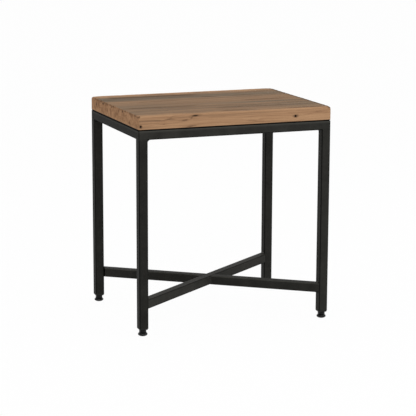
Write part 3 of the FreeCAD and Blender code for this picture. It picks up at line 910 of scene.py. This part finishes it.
def worn_board(name, material):
    """One board of the top, with eased and chipped edges, checks, marks and a wavy face."""
    low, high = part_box(name)
    along, across, upward = fine_stretches(name, low, high)
    xs = places(low.x, high.x, GRID_ALONG, along)
    ys = places(low.y, high.y, GRID_ACROSS, across)
    zs = places(low.z, high.z, GRID_UPWARD, upward)
    flat, quads = box_shell(xs, ys, zs)
    points, outward = eased(flat, arris_sizes(name, flat, low, high), low, high)

    ragged = ripple(points, *RAGGED)
    bend = np.zeros(len(points))
    marks = [top_checks(name, points, outward, ragged), end_marks(points, outward, ragged)]
    if name == BOARDS[0]:
        *knots, bend = edge_knots(points, outward, ragged)
        marks += [knots, nail_holes(points, outward, ragged)]
    depths, stains = zip(*marks)
    # edge marks: the painted shadow above the rails, and the darker chipped, right and back edges
    streaks, edge_marks = top_streaks(points, outward, ragged), edge_shade_and_stain(name, points, outward)
    stain = np.maximum.reduce([*stains, streaks, edge_marks])
    seed = BOARDS.index(name)
    wave_scale, wave_seed = FACE_WAVE
    wave = SURFACE_WAVE * (0.5 + 0.5 * ripple(points, wave_scale, seed + wave_seed))
    sink = np.maximum.reduce(depths) + wave * smooth(np.abs(outward[:, 2]), *WAVY_FACE)
    points = points - outward * sink[:, None]

    made = piece(name + "_worn", points, quads, material)
    _, (pith_y, pith_z) = BOARD_LOOKS[name]
    middle = (low + high) / 2
    pith = np.array([-GRAIN_SHIFT * seed, middle.y + pith_y, middle.z + pith_z])
    grain_place = points - pith
    grain_place[:, 2] += bend
    add_values(made.data, "grain_place", grain_place)
    add_values(made.data, "patina", patina_of(name, points, outward))
    # the stain values also carry the painted shadow above the rails
    add_values(made.data, "stain", np.clip(stain, 0, 1))
    add_values(made.data, "end_grain", smooth(np.abs(outward[:, 0]), *END_GRAIN_TURN))
    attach(made, "frame")
    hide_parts(name)


# Feet


def turned_piece(name, rows, material):
    """Closed mesh round an upright axis, from rows of points up the piece, each a full turn."""
    count = len(rows[0])
    points = [point for row in rows for point in row]
    faces = []
    for lower in range(len(rows) - 1):
        for step in range(count):
            after = (step + 1) % count
            base, top = lower * count, (lower + 1) * count
            faces.append((base + step, base + after, top + after, top + step))
    faces.append(tuple(reversed(range(count))))
    faces.append(tuple(range((len(rows) - 1) * count, len(rows) * count)))
    return piece(name, points, faces, material)


def ring_of(axis, height, radius_at):
    """A full turn of points about an upright axis, the radius worked out from the angle."""
    turn = []
    for step in range(ROUND_SEGMENTS):
        angle = 2 * math.pi * step / ROUND_SEGMENTS
        radius = radius_at(angle)
        turn.append((axis.x + radius * math.cos(angle), axis.y + radius * math.sin(angle), height))
    return turn


def pad_radius(share):
    """Radius of the bulging pad at a share of its height, of its widest radius."""
    if share < PAD_WIDEST_SHARE:
        end, away = PAD_BASE_SHARE, 1 - share / PAD_WIDEST_SHARE
    else:
        end, away = PAD_NECK_SHARE, (share - PAD_WIDEST_SHARE) / (1 - PAD_WIDEST_SHARE)
    return end + (1 - end) * math.cos(away * math.pi / 2) ** PAD_BULGE_POWER


def foot_pad(corner, material):
    """Round pad that bulges between a small base and its neck, with a socket for the pin."""
    node_name = "foot_pad_" + corner
    low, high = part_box(node_name)
    axis = (low + high) / 2
    radius = (high.x - low.x) / 2
    rows = []
    for row in range(PAD_ROWS + 1):
        share = (1 - math.cos(math.pi * row / PAD_ROWS)) / 2
        wide = radius * pad_radius(share)
        height = low.z + share * (high.z - low.z)
        rows.append(ring_of(axis, height, lambda angle, wide=wide: wide))
    pin_low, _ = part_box("foot_screw_" + corner)
    for height in (high.z, pin_low.z - COLLAR_GAP):
        rows.append(ring_of(axis, height, lambda angle: PIN_RADIUS + COLLAR_GAP))
    made = turned_piece("foot_pad_round_" + corner, rows, material)
    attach(made, "pad_" + corner)
    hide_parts(node_name)


def hex_radius(angle, across_flats, most):
    """Radius of a hexagon with a corner at angle 0, its corners cut off at the most it may be."""
    sector = 2 * math.pi / HEX_SIDES
    return min(most, across_flats / 2 / math.cos((angle + sector / 2) % sector - sector / 2))


def thread_radius(angle, height):
    """Radius of a right-hand thread with narrow flats, at an angle and a height."""
    phase = (height / THREAD_PITCH - angle / (2 * math.pi)) % 1
    flank = abs(2 * phase - 1)
    return ROD_RADIUS - THREAD_DEPTH * min(1, max(0, THREAD_SLOPE * flank - THREAD_CREST))


def foot_screw(corner, material):
    """Levelling screw with a chamfered hex collar and an M8 thread."""
    node_name = "foot_screw_" + corner
    low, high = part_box(node_name)
    axis = (low + high) / 2
    _, pad_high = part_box("foot_pad_" + corner)
    plug_low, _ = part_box("leg_plug_" + corner)
    flats = (high.x - low.x) * math.cos(math.pi / HEX_SIDES)
    collar_low, collar_high = pad_high.z + COLLAR_GAP, plug_low.z - COLLAR_GAP
    rows = [ring_of(axis, height, lambda angle: PIN_RADIUS) for height in (low.z, collar_low)]
    for row in range(COLLAR_ROWS + 1):
        height = collar_low + (collar_high - collar_low) * row / COLLAR_ROWS
        from_end = min(height - collar_low, collar_high - height)
        chamfer = COLLAR_WASHER_SHARE * flats / 2 + from_end / COLLAR_CHAMFER_SHARE
        rows.append(ring_of(
            axis, height, lambda angle, most=chamfer: hex_radius(angle, flats, most)
        ))
    steps = round((high.z - collar_high) / THREAD_PITCH * THREAD_STEPS)
    for row in range(steps + 1):
        height = collar_high + (high.z - collar_high) * row / steps
        rows.append(ring_of(axis, height, lambda angle, h=height: thread_radius(angle, h)))
    made = turned_piece("foot_screw_threaded_" + corner, rows, material)
    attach(made, "screw_" + corner)
    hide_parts(node_name)


# CAD pieces that stay


def dress(names, material):
    """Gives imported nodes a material."""
    for name in names:
        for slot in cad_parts[name].material_slots:
            slot.material = material


def soften(names, width):
    """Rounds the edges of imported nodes."""
    for name in names:
        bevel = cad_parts[name].modifiers.new("soft_edges", "BEVEL")
        bevel.width = width
        bevel.segments = PLUG_SEGMENTS
        bevel.limit_method = "ANGLE"


# Studio


def seen_ray(tree):
    """1 for rays that show a surface to the camera, directly or in a reflection, 0 for light."""
    rays = node(tree, "ShaderNodeLightPath", {}).outputs
    shown = math_node(tree, "MAXIMUM", rays["Is Camera Ray"], rays["Is Glossy Ray"])
    return math_node(tree, "MAXIMUM", shown, rays["Is Transmission Ray"])


def mixed(tree, share, first, second, surface):
    """Puts a mix of two shaders on a surface socket."""
    inputs = {0: share, 1: first.outputs[0], 2: second.outputs[0]}
    tree.links.new(node(tree, "ShaderNodeMixShader", inputs).outputs[0], surface)


def studio_world():
    """White behind everything, softer where it lights the table."""
    world = bpy.data.worlds.new("studio")
    world.use_nodes = True
    tree = world.node_tree
    tree.nodes.clear()
    light = node(tree, "ShaderNodeBackground", {"Color": WHITE, "Strength": AMBIENT})
    shown = node(tree, "ShaderNodeBackground", {"Color": WHITE, "Strength": 1.0})
    output = tree.nodes.new("ShaderNodeOutputWorld")
    mixed(tree, seen_ray(tree), light, shown, output.inputs["Surface"])
    bpy.context.scene.world = world


def floor():
    """Pale floor that keeps the shadow, clear enough to show feet that are screwed out below it."""
    material, tree, surface = new_material("studio_floor")
    matt = node(tree, "ShaderNodeBsdfDiffuse", {"Color": FLOOR_COLOUR})
    clear = node(tree, "ShaderNodeBsdfTransparent", {"Color": WHITE})
    share = math_node(tree, "MULTIPLY", seen_ray(tree), FLOOR_CLEAR_SHARE)
    mixed(tree, share, matt, clear, surface)
    half = FLOOR_SIZE / 2
    corners = [(-half, -half, 0), (half, -half, 0), (half, half, 0), (-half, half, 0)]
    piece("studio_floor", corners, [(0, 1, 2, 3)], material)


def soft_boxes():
    """Large square lamps round the table."""
    for name, (place, aim, side, watts) in SOFT_BOXES.items():
        lamp = bpy.data.lights.new(name, "AREA")
        lamp.size = side
        lamp.energy = watts
        made = bpy.data.objects.new(name, lamp)
        made.location = place
        made.rotation_euler = (Vector(aim) - Vector(place)).to_track_quat("-Z", "Y").to_euler()
        bpy.context.scene.collection.objects.link(made)


def camera():
    """Camera at the photo's place, angle and focal length."""
    data = bpy.data.cameras.new("photo_camera")
    data.sensor_width = SENSOR_MM
    data.lens = FOCAL_PIXELS * SENSOR_MM / IMAGE_PIXELS
    ahead = Vector((
        math.sin(CAMERA_YAW) * math.cos(CAMERA_PITCH),
        math.cos(CAMERA_YAW) * math.cos(CAMERA_PITCH),
        -math.sin(CAMERA_PITCH),
    ))
    right = Vector((math.cos(CAMERA_YAW), -math.sin(CAMERA_YAW), 0))
    down = ahead.cross(right)
    side = right * math.cos(CAMERA_ROLL) - down * math.sin(CAMERA_ROLL)
    up = -(right * math.sin(CAMERA_ROLL) + down * math.cos(CAMERA_ROLL))
    turn = Matrix((side, up, -ahead)).transposed().to_4x4()
    made = bpy.data.objects.new("photo_camera", data)
    made.matrix_world = Matrix.Translation(CAMERA_PLACE) @ turn
    bpy.context.scene.collection.objects.link(made)
    bpy.context.scene.camera = made


wood = barnwood()
for board_name in BOARDS:
    worn_board(board_name, wood)

tabs = ["top_tab_" + corner for corner in CORNERS]
dress(["rail_front", "rail_back"], black_steel("long_rails"))
dress(["rail_left", "rail_right"] + tabs, black_steel("short_rails"))
# one black paint, the left legs shaded and the right legs lit: painted light
dress(["leg_front_left", "leg_back_left"], black_steel("shaded_left_legs"))
dress(["leg_front_right", "leg_back_right"], black_steel("lit_right_legs"))
dress(["stretcher_through"], black_steel("through_stretcher"))
dress(["stretcher_half_left", "stretcher_half_right"], black_steel("half_stretchers"))
dress(["ring_welds"], black_steel("ground_welds"))
dress(["cross_welds", "stretcher_welds"], black_steel("weld_beads"))
plugs = ["leg_plug_" + corner for corner in CORNERS]
dress(plugs, plug_nylon())
soften(plugs, PLUG_SOFTENING)
dress(["top_screws"], plated_steel(*ZINC))
dress(["edge_tenons"], tenon_wood())

pad_material = pad_nylon()
screw_material = plated_steel(*BLACK_ZINC)
for corner in CORNERS:
    foot_pad(corner, pad_material)
    foot_screw(corner, screw_material)

studio_world()
floor()
soft_boxes()
camera()
bpy.context.scene.view_settings.view_transform = "Standard"
